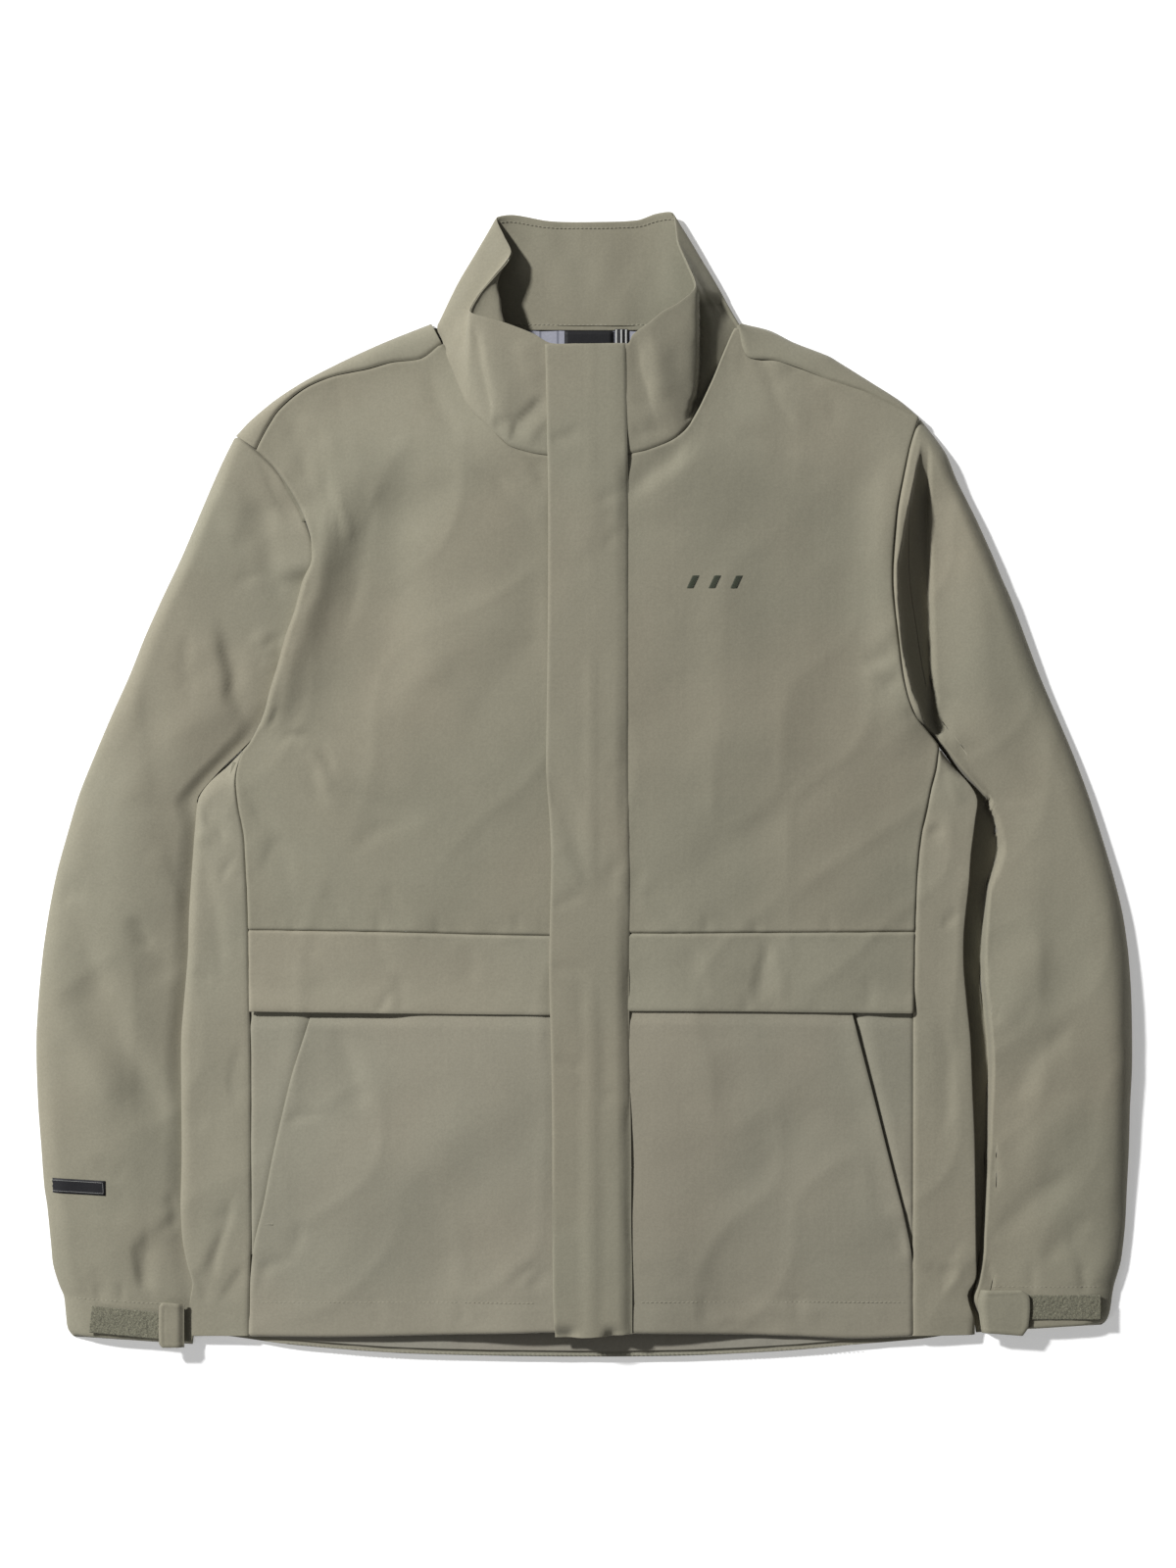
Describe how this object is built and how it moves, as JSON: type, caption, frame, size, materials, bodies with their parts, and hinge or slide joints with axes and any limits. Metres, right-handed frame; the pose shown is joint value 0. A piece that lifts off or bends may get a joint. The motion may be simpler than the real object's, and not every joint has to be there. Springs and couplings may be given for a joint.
{
  "type": "zip-front shell jacket",
  "caption": "Lined hip-length shell jacket laid flat and zipped up, with a stand collar, a storm flap over the front zip, slanted hand pockets and hook-and-loop cuff tabs.",
  "frame": {"origin": "bottom centre of the bounding box, on the surface that the jacket lies on", "axes": "+Z out of the jacket's front, +Y towards the collar, +X towards the wearer's left sleeve"},
  "size_m": [0.7811, 0.8148, 0.0354],
  "materials": {
    "shell_fabric": "matte fine-weave shell cloth in grey green",
    "shell_fabric_light": "matte fine-weave shell cloth, lighter panel",
    "hem_facing": "matte woven facing with a stitched edge",
    "collar_inside": "matte brushed inner collar cloth",
    "pocket_cloth": "plain woven pocket cloth",
    "lining": "smooth woven lining with faint stripes",
    "black_label": "black woven satin tape",
    "zip_tape": "ribbed woven zip tape",
    "zip_teeth": "moulded zip teeth",
    "zip_metal": "coated cast slider",
    "hook_loop": "hook-and-loop pile",
    "tab_shell": "bonded cuff tab in shell cloth"
  },
  "bodies": {
    "torso": {"front_right_chest": "shell_fabric", "front_right_band": "shell_fabric", "front_right_lower": "shell_fabric", "pocket_facing_right": "shell_fabric_light", "pocket_bag_right": "pocket_cloth", "side_panel_right": "shell_fabric", "lining_front_right": "lining", "front_left_chest": "shell_fabric", "front_left_band": "shell_fabric", "front_left_lower": "shell_fabric", "pocket_facing_left": "shell_fabric_light", "pocket_bag_left": "pocket_cloth", "side_panel_left": "shell_fabric", "lining_front_left": "lining", "back_panel": "shell_fabric", "back_hem_facing": "hem_facing", "lining_back": "lining", "back_yoke": "shell_fabric", "collar_outer_back": "shell_fabric", "collar_inner_back": "collar_inside", "collar_outer_right": "shell_fabric", "collar_inner_right": "collar_inside", "collar_outer_left": "shell_fabric", "collar_inner_left": "collar_inside", "neck_label": "black_label", "hanger_loop": "black_label", "zip_tape_right": "zip_tape", "zip_tape_left": "zip_tape", "zip_teeth_right": "zip_teeth", "zip_teeth_left": "zip_teeth", "zip_bottom_box": "zip_teeth", "zip_top_stop_right": "zip_metal", "zip_top_stop_left": "zip_metal", "flap_loop_1": "hook_loop", "flap_loop_2": "hook_loop", "flap_loop_3": "hook_loop", "flap_loop_4": "hook_loop"},
    "sleeve_right": {"sleeve_right_top": "shell_fabric_light", "sleeve_right_under": "shell_fabric_light", "cuff_loop_right": "hook_loop", "sleeve_badge": "black_label"},
    "sleeve_left": {"sleeve_left_top": "shell_fabric", "sleeve_left_under": "shell_fabric", "cuff_loop_left": "hook_loop"},
    "storm_flap": {"storm_flap": "shell_fabric", "flap_hook_1": "hook_loop", "flap_hook_2": "hook_loop", "flap_hook_3": "hook_loop", "flap_hook_4": "hook_loop"},
    "zip_slider": {"zip_slider": "zip_metal"},
    "zip_pull": {"zip_pull": "zip_metal"},
    "cuff_tab_right": {"cuff_hook_right": "hook_loop", "cuff_tab_right": "tab_shell"},
    "cuff_tab_left": {"cuff_hook_left": "hook_loop", "cuff_tab_left": "tab_shell"}
  },
  "joints": [
    {"name": "sleeve_right_swing", "type": "hinge", "parent": "torso", "child": "sleeve_right", "pos_m": [-0.247, 0.2485, 0.0005], "axis": [0, 0, -1], "range_deg": [0, 30]},
    {"name": "sleeve_left_swing", "type": "hinge", "parent": "torso", "child": "sleeve_left", "pos_m": [0.2387, 0.2615, 0.0005], "axis": [0, 0, 1], "range_deg": [0, 30]},
    {"name": "storm_flap_open", "type": "hinge", "parent": "torso", "child": "storm_flap", "pos_m": [0.03095, -0.03815, 0.02932], "axis": [-0.007, 0.9998, 0.016], "range_deg": [0, 165]},
    {"name": "zip_slide", "type": "slide", "parent": "torso", "child": "zip_slider", "axis": [0, -0.9999, -0.016], "range_m": [0, 0.645]},
    {"name": "zip_pull_flip", "type": "hinge", "parent": "zip_slider", "child": "zip_pull", "pos_m": [0.0049, 0.2805, 0.03191], "axis": [-1, 0, 0], "range_deg": [0, 85]},
    {"name": "cuff_tab_right_open", "type": "hinge", "parent": "sleeve_right", "child": "cuff_tab_right", "pos_m": [-0.284, -0.383, 0.0143], "axis": [0, 1, 0], "range_deg": [0, 110]},
    {"name": "cuff_tab_left_open", "type": "hinge", "parent": "sleeve_left", "child": "cuff_tab_left", "pos_m": [0.28, -0.374, 0.0143], "axis": [0, -1, 0], "range_deg": [0, 110]}
  ],
  "couplings": [
    {"joint": "zip_pull_flip", "follows": "storm_flap_open", "ratio": 0.5}
  ]
}
